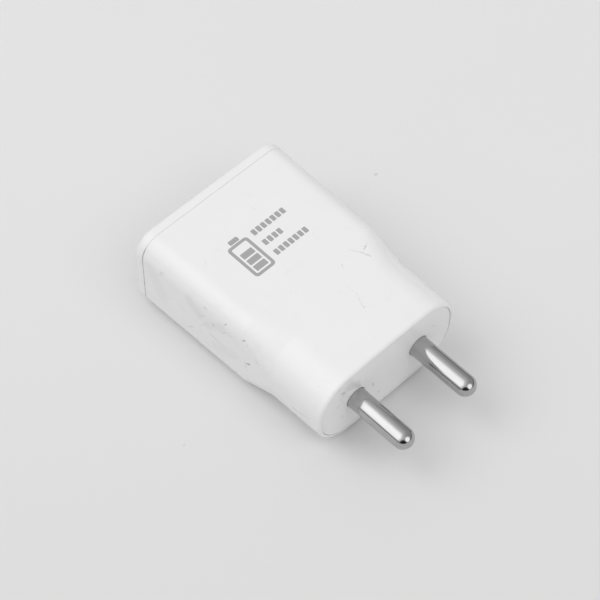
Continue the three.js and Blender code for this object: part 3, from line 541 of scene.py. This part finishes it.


def floor_paper():
    s = Surface("pale_floor", IOR=1.3)
    cloud = s.noise(0.012, detail=4.0)
    fleck = s.between(s.cells(0.045, at=s.warped(0.8, 1.4)), 0.012, 0.03, 1.0, 0.0)
    few = s.between(s.noise(0.03, detail=1.0), 0.4, 0.52, 0.0, 0.4)
    # Painted shade: the paper gets darker towards -X and -Y.
    downhill = s.vector("DOT_PRODUCT", s.place, FLOOR_DARKENS)
    shade = s.between(downhill, -70.0, 90.0)
    paper = s.blend(s.blend(grey(0.775), grey(0.8), cloud), grey(0.735), shade)
    s.colour(s.blend(paper, grey(0.25), s.math("MULTIPLY", fleck, few)))
    s.roughness(s.between(cloud, 0.3, 0.7, 0.6, 0.75))
    s.bump(s.noise(1.2, detail=4.0), 0.03, 0.3)
    return s.material


# ---- The sleeve and the end cap -----------------------------------------------------------------
def eased(t):
    """0 below 0, 1 above 1 and straight between them, with rounded corners."""
    if t > 0.5:
        return 1.0 - eased(1.0 - t)
    if t > CREASE:
        return t
    return max(t + CREASE, 0.0) ** 2 / (4 * CREASE)


def housing_section(y):
    """The sleeve's outer section: a neck, a bevelled shoulder and a rear part, each with straight sides."""
    neck = mix(FRONT, NECK, min(y / NECK_Y, 1.0))
    rear = mix(WAIST, REAR, max((y - WAIST_Y) / (SLEEVE - WAIST_Y), 0.0))
    return mix(neck, rear, eased((y - NECK_Y) / (WAIST_Y - NECK_Y)))


def rounded_edge(y, section, radius, towards, count, inset=0.0):
    """Rings over an outer edge that faces "towards" (+1 or -1 along Y) at y, from the side to the face."""
    rings = []
    for angle in steps(0.0, math.pi / 2, count):
        back = radius * (1 - math.sin(angle))
        rings.append(ring(y - towards * back, section, inset + radius * (1 - math.cos(angle))))
    return rings


def sleeve():
    """The housing: its outside from the seam to the front lip, the ledge for the pin plate, its inside."""
    crease = 0.3  # half of the length over which a crease's rings are close together
    shoulder = steps(WAIST_Y + crease, WAIST_Y - crease, 8)
    shoulder += steps(WAIST_Y - crease, NECK_Y + crease, 8)[1:-1]
    shoulder += steps(NECK_Y + crease, NECK_Y - crease, 8)
    body = steps(SLEEVE - SEAM_RADIUS, shoulder[0], 14)[1:-1]
    neck = steps(shoulder[-1], FRONT_RADIUS, 7)[1:-1]
    lip = 0.12  # the edge of the opening for the pin plate
    ledge_front, ledge_rear, ledge_depth = PLATE_THICKNESS + 0.05, PLATE_THICKNESS + 1.4, 1.1
    rings = list(reversed(rounded_edge(SLEEVE, REAR, SEAM_RADIUS, 1, 4)))
    rings += [ring(y, housing_section(y)) for y in (*body, *shoulder, *neck)]
    rings += rounded_edge(0.0, FRONT, FRONT_RADIUS, -1, 10)
    rings += [ring(lip * (1 - math.cos(a)), FRONT, FRONT_RIM - lip * (1 - math.sin(a)))
              for a in steps(0.0, math.pi / 2, 3)]
    rings += [
        ring(ledge_front, FRONT, FRONT_RIM),
        ring(ledge_front, FRONT, FRONT_RIM + ledge_depth),
        ring(ledge_rear, FRONT, FRONT_RIM + ledge_depth),
        ring(ledge_rear + ledge_depth, FRONT, WALL),
    ]
    rings += [ring(y, housing_section(y), WALL) for y in reversed(shoulder[::2])]
    rings += [ring(SLEEVE, REAR, WALL)]
    return smooth(skin("sleeve", rings), 28)


TOUCHING = 0.01  # a face this near a joint's plane is in the joint
LENGTHWISE = 0.7  # a face with more of its normal than this along Y faces one of the ends


def sleeve_joint(place, normal):
    """Whether a face of the sleeve lies in the joint with the pin plate or with the end cap."""
    opening = 0.1 < place.y < PLATE_THICKNESS and normal.x * place.x + normal.z * place.z < 0
    return opening or (abs(place.y - SLEEVE) < TOUCHING and normal.y > LENGTHWISE)


def cap_joint(place, normal):
    """Whether a face of the end cap is its front one, against the sleeve."""
    return place.y < SLEEVE + SEAM_GAP + TOUCHING and normal.y < -LENGTHWISE


def plate_joint(place, normal):
    """Whether a face of the pin plate is part of its edge, against the sleeve's lip."""
    return 0.21 < place.y < PLATE_THICKNESS - 0.05 and abs(normal.y) < 0.3


def board_rails():
    """Two pairs of ribs on the sleeve's inside, which hold the board's long edges."""
    board_low, board_high = (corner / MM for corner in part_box("main_board"))
    clear, height, edge = 0.15, 0.9, 0.15
    inner, outer = board_high.x - 0.9, REAR[0] - WALL - 0.5
    front, rear = FACE_Y + 8.0, FACE_Y + 50.0
    ribs = []
    for side in (-1, 1):
        for z in (board_low.z - clear - height, board_high.z + clear):
            section = [(inner + edge, z), (outer, z), (outer, z + height), (inner + edge, z + height),
                       (inner, z + height - edge), (inner, z + edge)]
            ribs.append(slab("rib", [(side * x, level) for x, level in section], front, rear, axis="y"))
    return join(ribs, "board_rails")


def end_cap():
    """The cap behind the seam, with its window for the port and the spigot that enters the sleeve."""
    joint, rear = SLEEVE + SEAM_GAP, SLEEVE + CAP
    inner_face, spigot_end = SLEEVE + 0.8, SLEEVE - 3.0
    spigot_out, spigot_in = WALL + 0.1, WALL + 1.3
    port = ((receptacle_high.x - receptacle_low.x) / 2 + 0.15, 3.0, 0.45, 0.0)
    bevel = 0.35  # round the port's mouth
    mouth = tuple(a + b for a, b in zip(port, (bevel, bevel, bevel, 0.0)))
    rings = list(rounded_edge(joint, REAR, SEAM_RADIUS, -1, 4))[::-1]
    rings += [ring(y, REAR) for y in steps(joint + SEAM_RADIUS, rear - CAP_RADIUS, 3)[1:-1]]
    rings += rounded_edge(rear, REAR, CAP_RADIUS, 1, 12)
    edge = tuple(v - w for v, w in zip(REAR, (CAP_RADIUS, CAP_RADIUS, CAP_RADIUS, 0.0)))
    rings += [ring(rear, mix(edge, mouth, t)) for t in (0.04, 0.3, 0.6, 0.9, 1.0)]
    rings += [ring(rear - bevel * t, mix(mouth, port, t)) for t in (0.33, 0.67, 1.0)]
    rings += [
        ring(inner_face, port),
        ring(inner_face, REAR, spigot_in),
        ring(spigot_end, REAR, spigot_in),
        ring(spigot_end, REAR, spigot_out),
        ring(joint, REAR, spigot_out),
    ]
    return smooth(skin("end_cap", rings))


# ---- The pin plate and the mains pins -----------------------------------------------------------
PIN_RADIUS = 2.55
PIN_LENGTH = 16.5


def middle_x(node):
    low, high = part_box(node)
    return (low.x + high.x) / 2 / MM


def shifted(profile):
    """A (radius, y) profile moved from the pin plate's face into the row frame."""
    return [(radius, y + FACE_Y) for radius, y in profile]


def pin_plate():
    """The front plate with its rounded rim, pin holes and the bosses behind them."""
    inset = FRONT_RIM + PLATE_GAP
    rim = 0.12
    plate_middle = PLATE_THICKNESS / 2
    rings = [ring(PLATE_THICKNESS, FRONT, inset)]
    rings += rounded_edge(PLATE_RECESS, FRONT, rim, -1, 4, inset)
    plate = skin("pin_plate_face", rings, looped=False)
    boss_radius, boss_rear, brace_rear = 4.6, PLATE_THICKNESS + 4.0, PLATE_THICKNESS + 2.8
    for node in ("pin_left", "pin_right"):
        x = middle_x(node)
        boss = [(0, plate_middle), (boss_radius, plate_middle), (boss_radius, boss_rear), (0, boss_rear)]
        radius = PIN_RADIUS + 0.05
        hole = [(0, -1.0), (radius + 1.1, -1.0), (radius + 0.1, PLATE_RECESS), (radius, PLATE_RECESS + 0.1),
                (radius, boss_rear + 1.0), (0, boss_rear + 1.0)]
        boolean(plate, "UNION", turned("boss", shifted(boss), (x, MID_Z), 64))
        boolean(plate, "DIFFERENCE", turned("hole", shifted(hole), (x, MID_Z), 96))
    brace_half = abs(middle_x("pin_left")) - boss_radius + 0.5
    brace_low, brace_high = MID_Z - 0.8, MID_Z + 0.8
    brace = [(-brace_half, brace_low), (brace_half, brace_low),
             (brace_half, brace_high), (-brace_half, brace_high)]
    front, back = FACE_Y + plate_middle, FACE_Y + brace_rear
    boolean(plate, "UNION", slab("brace", brace, front, back, axis="y"))
    return smooth(plate)


def pin(node):
    """A round pin with a domed end, and behind the plate a collar and a thinner tail."""
    collar_front, collar_radius, tail_radius, tail_rear = PLATE_THICKNESS + 4.05, 3.4, 1.5, 10.5
    tip = [(PIN_RADIUS * math.sin(a), -PIN_LENGTH + PIN_RADIUS * (1 - math.cos(a)))
           for a in steps(0.0, math.pi / 2, 20)]
    shank = [(PIN_RADIUS, y) for y in steps(-PIN_LENGTH + PIN_RADIUS, collar_front, 12)[1:]]
    tail = [(collar_radius, collar_front), (collar_radius, collar_front + 1.1),
            (tail_radius, collar_front + 1.1), (tail_radius, tail_rear), (0, tail_rear)]
    return smooth(turned(node + "_plated", shifted(tip + shank + tail), (middle_x(node), MID_Z)))


# ---- The USB receptacle -------------------------------------------------------------------------
SHEET = 0.3
PORT_HALF = ((receptacle_high.x - receptacle_low.x) / 2, 2.85)
PORT_FRONT, PORT_REAR = receptacle_high.y, receptacle_low.y
TONGUE_HALF = (5.55, 0.92)
insulator_low, insulator_high = (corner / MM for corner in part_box("usb_insulator"))
TONGUE_TOP = MID_Z + PORT_HALF[1] - SHEET - 0.64
TONGUE_TIP = insulator_high.y
TONGUE_ROOT = TONGUE_TIP - 8.9
TONGUE_UNDER = TONGUE_TOP - 2 * TONGUE_HALF[1]
CONTACTS = ("usb_contact_1", "usb_contact_2", "usb_contact_3", "usb_contact_4")


def tube_section(y, half_width, half_height, corner, centre_z=MID_Z):
    points = outline((half_width, half_height, corner, 0.0))
    return [Vector((x, y, centre_z + z)) * MM for x, z in points]


def block(name, x, y, z):
    """A closed box between pairs of limits in millimetres."""
    corners = [(x[0], y[0]), (x[1], y[0]), (x[1], y[1]), (x[0], y[1])]
    return slab(name, corners, z[0], z[1])


def strip(name, path, centre_x, half_width, thickness):
    """A bent strip of sheet: path is its middle line as (y, z) points, from its root to its end."""
    rings = []
    for i, (y, z) in enumerate(path):
        before, after = path[max(i - 1, 0)], path[min(i + 1, len(path) - 1)]
        along = Vector((0.0, after[0] - before[0], after[1] - before[1])).normalized()
        normal = along.cross(Vector((1.0, 0.0, 0.0))) * (thickness / 2)
        edge = min(0.2 * thickness, 0.06)
        rows = []
        for sx, sn in ((1, 1), (1, -1), (-1, -1), (-1, 1)):
            for bevel in ((0, 1), (1, 0)) if sx * sn > 0 else ((1, 0), (0, 1)):
                across = Vector((sx * (half_width - edge * bevel[1]), 0.0, 0.0))
                rise = normal * sn * (1 - bevel[0] * 2 * edge / thickness)
                rows.append((Vector((centre_x, y, z)) + across + rise) * MM)
        rings.append(rows)
    return skin(name, rings, looped=False)


def receptacle_shell():
    """The stamped shell: rolled mouth, four grip leaves in their windows, and two legs for the board."""
    (half_width, half_height), roll = PORT_HALF, 0.12
    corner = 0.8
    rings = [tube_section(y, half_width, half_height, corner) for y in steps(PORT_REAR, PORT_FRONT - roll, 8)]
    for angle in steps(0.0, math.pi, 6)[1:]:
        inset = (1 - math.cos(angle)) * SHEET / 2
        rings.append(tube_section(PORT_FRONT - roll + roll * math.sin(angle), half_width - inset,
                                  half_height - inset, corner - inset))
    rings += [tube_section(y, half_width - SHEET, half_height - SHEET, corner - SHEET)
              for y in steps(PORT_FRONT - roll, PORT_REAR, 8)[1:]]
    shell = skin("receptacle_shell", rings)
    leaf_x, leaf_half, gap = 3.1, 0.9, 0.3
    leaf_root, leaf_length, leaf_dip = PORT_FRONT - 2.2, 5.4, 0.42
    for side in (-1, 1):
        for face in (-1, 1):
            x, skin_z = side * leaf_x, MID_Z + face * (half_height - SHEET / 2)
            reach = leaf_half + gap
            window = block("window", (x - reach, x + reach), (leaf_root - leaf_length - gap, leaf_root),
                           (skin_z - SHEET, skin_z + SHEET))
            boolean(shell, "DIFFERENCE", window)
            path = []
            for t in steps(-0.06, 1.0, 18):
                dip = leaf_dip * math.sin(min(max(t, 0.0), 1.0) ** 1.3 * math.pi * 0.82)
                path.append((leaf_root - t * leaf_length, skin_z - face * dip))
            boolean(shell, "UNION", strip("leaf", path, x, leaf_half, SHEET * 0.8))
    board_low, leg_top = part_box("usb_shell")[0].z / MM, MID_Z - half_height + 1.4
    leg_y, leg_half = PORT_FRONT - 7.7, 0.6
    for side in (-1, 1):
        x = side * (half_width - SHEET / 2)
        leg = block("leg", (x - SHEET / 2 + 0.01, x + SHEET / 2 - 0.01),
                    (leg_y - leg_half, leg_y + leg_half), (board_low, leg_top))
        boolean(shell, "UNION", leg)
    return smooth(shell)


def tongue():
    """The insulator: a block that fills the shell's rear and a tongue with a groove for each contact."""
    clear, radius = 0.08, 0.22
    half_width, half_height = PORT_HALF[0] - SHEET - clear, PORT_HALF[1] - SHEET - clear
    base = skin("insulator", [
        tube_section(insulator_low.y, half_width, half_height, 0.4),
        tube_section(TONGUE_ROOT - radius, half_width, half_height, 0.4),
        tube_section(TONGUE_ROOT, half_width - radius, half_height - radius, 0.3)], looped=False)
    centre = (TONGUE_TOP + TONGUE_UNDER) / 2
    rings = [tube_section(y, *TONGUE_HALF, 0.3, centre)
             for y in steps(TONGUE_ROOT - 1, TONGUE_TIP - radius, 4)]
    for angle in steps(0.0, math.pi / 2, 5)[1:]:
        inset = radius * (1 - math.cos(angle))
        rings.append(tube_section(TONGUE_TIP - radius + radius * math.sin(angle), TONGUE_HALF[0] - inset,
                                  TONGUE_HALF[1] - inset, 0.3, centre))
    boolean(base, "UNION", skin("tongue", rings, looped=False))
    reach, top = 0.68, TONGUE_UNDER + 0.9  # each groove's half width and its bottom
    for contact in CONTACTS:
        x = middle_x(contact)
        front = block("groove", (x - reach, x + reach), (TONGUE_ROOT - 0.6, TONGUE_TIP - 0.5),
                      (TONGUE_UNDER - 1, top))
        rear = block("slot", (x - reach, x + reach), (insulator_low.y - 1, TONGUE_ROOT - 0.55),
                     (MID_Z - 6, top))
        boolean(base, "DIFFERENCE", front)
        boolean(base, "DIFFERENCE", rear)
    return smooth(base)


def contact_beam(node):
    """A sprung contact: flat in its groove, with a rounded bow below the tongue."""
    low, high = (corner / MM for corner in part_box(node))
    thickness = 0.25
    length, bow = high.y - low.y, high.z - low.z - thickness
    centre, half = 0.72 * length, 0.2 * length
    path = []
    for t in steps(0.0, length, 48):
        u = abs(t - centre) / half
        drop = bow * (1 + math.cos(math.pi * min(u, 1.0))) / 2
        path.append((low.y + t, high.z - thickness / 2 - drop))
    return smooth(strip(node + "_beam", path, (low.x + high.x) / 2, (high.x - low.x) / 2, thickness), 40)


# ---- The printed mark ---------------------------------------------------------------------------
MARK_THICKNESS = 0.02  # of the ink that stands above the plastic


def rounded_corners(centre_x, centre_y, half_width, half_height, corner, count=6):
    points = []
    for quarter, (sx, sy) in enumerate(((1, 1), (-1, 1), (-1, -1), (1, -1))):
        for angle in steps(quarter * math.pi / 2, (quarter + 1) * math.pi / 2, count):
            points.append((centre_x + sx * (half_width - corner) + corner * math.cos(angle),
                           centre_y + sy * (half_height - corner) + corner * math.sin(angle)))
    return points


def printed_mark():
    """A plain battery pictogram beside three rows of level blocks, printed on the upper side."""
    low, high = TOP_Z - 0.03, TOP_Z + MARK_THICKNESS
    cell_x, cell_y = -5.8, FACE_Y + 36.2  # the battery's middle
    shapes = []
    case, wall = (2.9, 4.9), 0.75
    outer = rounded_corners(cell_x, cell_y, *case, 0.9)
    inner = rounded_corners(cell_x, cell_y, case[0] - wall, case[1] - wall, 0.4)
    edges = ((outer, low), (outer, high), (inner, high), (inner, low))
    rings = [[Vector((x, y, z)) * MM for x, y in points] for points, z in edges]
    shapes.append(skin("battery_case", rings))
    end = rounded_corners(cell_x, cell_y + case[1] + 0.85, 1.3, 0.6, 0.3)
    shapes.append(slab("battery_end", end, low, high))
    for level in range(3):
        y = cell_y - case[1] + wall + 1.25 + level * 2.05
        shapes.append(slab("level", rounded_corners(cell_x, y, case[0] - wall - 0.5, 0.8, 0.15), low, high))
    block_half, pitch, row_pitch = (0.52, 0.8), 1.42, 3.6
    first_x, first_y = -0.9, FACE_Y + 40.6
    for row, count in enumerate((7, 4, 7)):
        for i in range(count):
            x, y = first_x + i * pitch, first_y - row * row_pitch
            shapes.append(slab("block", rounded_corners(x, y, *block_half, 0.2), low, high))
    return join(shapes, "printed_mark")


# ---- Assembly -----------------------------------------------------------------------------------
joint_shade = joint_dust_and_shade()
white = housing_plastic("white_plastic", SCUFFS)
plate_white = housing_plastic("white_plate", PLATE_SCUFFS)
nickel = pin_metal()
steel = sheet_steel()
gold = metal("gold_flash", (0.7, 0.45, 0.15), (0.85, 0.6, 0.25))
tongue_plastic = moulded("tongue_plastic", grey(0.62), grey(0.72), (0.4, 0.55))

show(sleeve(), white, replaced=("main_shell",), in_joint=sleeve_joint)
show(board_rails(), white)
show(end_cap(), white, replaced=("usb_end_cap",), in_joint=cap_joint)
show(pin_plate(), plate_white, replaced=("pin_plate",), in_joint=plate_joint)
for node in ("pin_left", "pin_right"):
    show(pin(node), nickel, replaced=(node,))
show(receptacle_shell(), steel, replaced=("usb_shell",))
show(tongue(), tongue_plastic, replaced=("usb_insulator",))
for node in CONTACTS:
    show(contact_beam(node), gold, node, (node,))
show(printed_mark(), printed_ink())

# ---- Materials of the carried-over nodes --------------------------------------------------------
epoxy = moulded("black_epoxy", grey(0.012), grey(0.03))
INSIDE = {
    "spring_bronze": metal("bronze_strip", (0.45, 0.25, 0.1), (0.62, 0.38, 0.18)),
    "board_laminate": board_laminate(),
    "resistor_coating": moulded("cement_coat", (0.06, 0.2, 0.18), (0.1, 0.28, 0.25), (0.5, 0.7)),
    "capacitor_sleeve": moulded("shrink_sleeve", (0.01, 0.012, 0.03), (0.03, 0.035, 0.06), (0.25, 0.35), 0.4),
    "ferrite": moulded("sintered_ferrite", grey(0.03), grey(0.07), (0.6, 0.8), 3.0, 0.02),
    "copper_wire": metal("enamelled_copper", (0.4, 0.12, 0.05), (0.65, 0.25, 0.1)),
    "winding_tape": moulded("polyester_tape", (0.6, 0.38, 0.02), (0.75, 0.5, 0.05), (0.25, 0.4), 0.8),
    "black_plastic": epoxy,
    "disc_coating": moulded("blue_epoxy", (0.02, 0.08, 0.35), (0.04, 0.13, 0.45), (0.3, 0.45)),
    "can_aluminium": metal("drawn_can", grey(0.6), grey(0.78)),
    "chip_ceramic": moulded("chip_body", (0.25, 0.17, 0.1), (0.4, 0.3, 0.18)),
    "contact_gold": gold,
}
for part in frame["record"]["subparts"]:
    surface = INSIDE.get(part["material_slot"])
    if surface:
        data = frame["nodes"][part["node"]].data
        data.materials.clear()
        data.materials.append(surface)

# ---- Floor, light and camera --------------------------------------------------------------------
# The floor's and the lamps' lengths are in metres, and the lamps' energy in watts.
FLOOR_HALF = 3.0
FLOOR_Z = -0.00002  # just clear of the underside
LAMP_SIZE, LAMP_DISTANCE = 1.3, 1.6
LAMPS = (("key", (-0.54, 0.58, 1.0), 7.6), ("fill", (0.0, -0.65, 1.0), 4.9))  # name, direction, energy

WALL_LIGHT = 0.63  # what the walls give to matt surfaces; the rest is what shows in reflections
WALL_FOOT, WALL_HEAD = 0.17, 0.44
PANEL, PANEL_HALO, PANEL_CORE = (-0.58, 0.47, 0.66), 0.55, 0.86
SMALL_LAMP, SMALL_LAMP_LIGHT = (0.08, -0.88, 0.47), 1.3
GAP, GAP_LIGHT = (-0.68, -0.7, 0.14), 0.05

CAMERA = {"azimuth": -44.74, "elevation": 55.51, "roll": 0.76, "distance": 477.9, "lens": 130.36}
AIM_ALONG, AIM_HEIGHT = 25.0, 10.0  # the point looked at, from the pin plate's face and the floor
AIM_RIGHT, AIM_UP = -1.41, 1.27  # how far that point stands off the picture's centre


def floor():
    corners = [(-FLOOR_HALF, -FLOOR_HALF), (FLOOR_HALF, -FLOOR_HALF),
               (FLOOR_HALF, FLOOR_HALF), (-FLOOR_HALF, FLOOR_HALF)]
    bm = bmesh.new()
    bm.faces.new([bm.verts.new((x, y, FLOOR_Z)) for x, y in corners])
    plane = new_object("floor", bm)
    plane.data.materials.append(floor_paper())


def lamps():
    """Two wide, soft lamps overhead: the key stands behind the USB end, the fill in front of the pins.
    Their reflections are painted in the studio's walls."""
    for name, direction, energy in LAMPS:
        data = bpy.data.lights.new(name, "AREA")
        data.shape = "DISK"
        data.size = LAMP_SIZE
        data.energy = energy
        lamp = bpy.data.objects.new(name, data)
        bpy.context.collection.objects.link(lamp)
        back = Vector(direction).normalized()
        lamp.location = back * LAMP_DISTANCE
        lamp.rotation_euler = back.to_track_quat("Z", "Y").to_euler()
        lamp.visible_glossy = False


def studio():
    """White, even walls for the light they give, and what shows in reflections: a soft panel above dark
    walls, a small lamp in front of the pins, and a dark gap beside it."""
    world = bpy.data.worlds.new("studio")
    bpy.context.scene.world = world
    world.use_nodes = True
    nodes = world.node_tree.nodes

    def put(kind, inputs, **settings):
        node = nodes.new(kind)
        for name, value in settings.items():
            setattr(node, name, value)
        return wire(node, inputs).outputs

    def ramp(value, low, high, out_low, out_high):
        return put("ShaderNodeMapRange", {"Value": value, "From Min": low, "From Max": high,
                                          "To Min": out_low, "To Max": out_high},
                   interpolation_type="SMOOTHSTEP")["Result"]

    def towards(direction, low, high, out_low, out_high):
        facing = put("ShaderNodeVectorMath", {0: sky, 1: Vector(direction).normalized()},
                     operation="DOT_PRODUCT")
        return ramp(facing["Value"], low, high, out_low, out_high)

    def combined(a, b, operation="MULTIPLY"):
        return put("ShaderNodeMath", {0: a, 1: b}, operation=operation)[0]

    sky = put("ShaderNodeTexCoord", {})["Generated"]
    height = put("ShaderNodeSeparateXYZ", {0: sky})["Z"]
    halo = towards(PANEL, 0.0, 1.0, 0.0, PANEL_HALO)
    core = towards(PANEL, 0.68, 0.96, 0.0, PANEL_CORE)
    glow = combined(combined(halo, core, "ADD"), ramp(height, 0.0, 0.35, 0.0, 1.0))
    walls = ramp(height, 0.0, 0.4, WALL_FOOT, WALL_HEAD)
    small_lamp = towards(SMALL_LAMP, 0.86, 0.97, 0.0, SMALL_LAMP_LIGHT)
    lit = combined(combined(glow, walls, "ADD"), small_lamp, "ADD")
    reflected = combined(lit, towards(GAP, 0.8, 0.94, 1.0, GAP_LIGHT))
    glossy = put("ShaderNodeLightPath", {})["Is Glossy Ray"]
    strength = put("ShaderNodeMix", {0: glossy, 2: WALL_LIGHT, 3: reflected}, data_type="FLOAT")[0]
    wire(nodes["Background"], {"Strength": strength, "Color": (*grey(1.0), 1.0)})
    bpy.context.scene.view_settings.view_transform = "Standard"


def camera():
    azimuth, elevation, roll = (math.radians(CAMERA[k]) for k in ("azimuth", "elevation", "roll"))
    back = Vector((math.sin(azimuth) * math.cos(elevation),
                   -math.cos(azimuth) * math.cos(elevation), math.sin(elevation)))
    right = Vector((math.cos(azimuth), math.sin(azimuth), 0.0))
    up = back.cross(right)
    right, up = (right * math.cos(roll) + up * math.sin(roll), up * math.cos(roll) - right * math.sin(roll))
    target = Vector((0.0, FACE_Y + AIM_ALONG, AIM_HEIGHT))
    place = target + back * CAMERA["distance"]
    back = (place - target - right * AIM_RIGHT - up * AIM_UP).normalized()
    right = up.cross(back).normalized()
    up = back.cross(right)
    data = bpy.data.cameras.new("camera")
    data.lens = CAMERA["lens"]
    data.clip_start = 0.01
    eye = bpy.data.objects.new("camera", data)
    bpy.context.collection.objects.link(eye)
    turn = Matrix((right, up, back)).transposed().to_4x4()
    eye.matrix_world = Matrix.Translation(place * MM) @ turn
    bpy.context.scene.camera = eye


floor()
lamps()
studio()
camera()
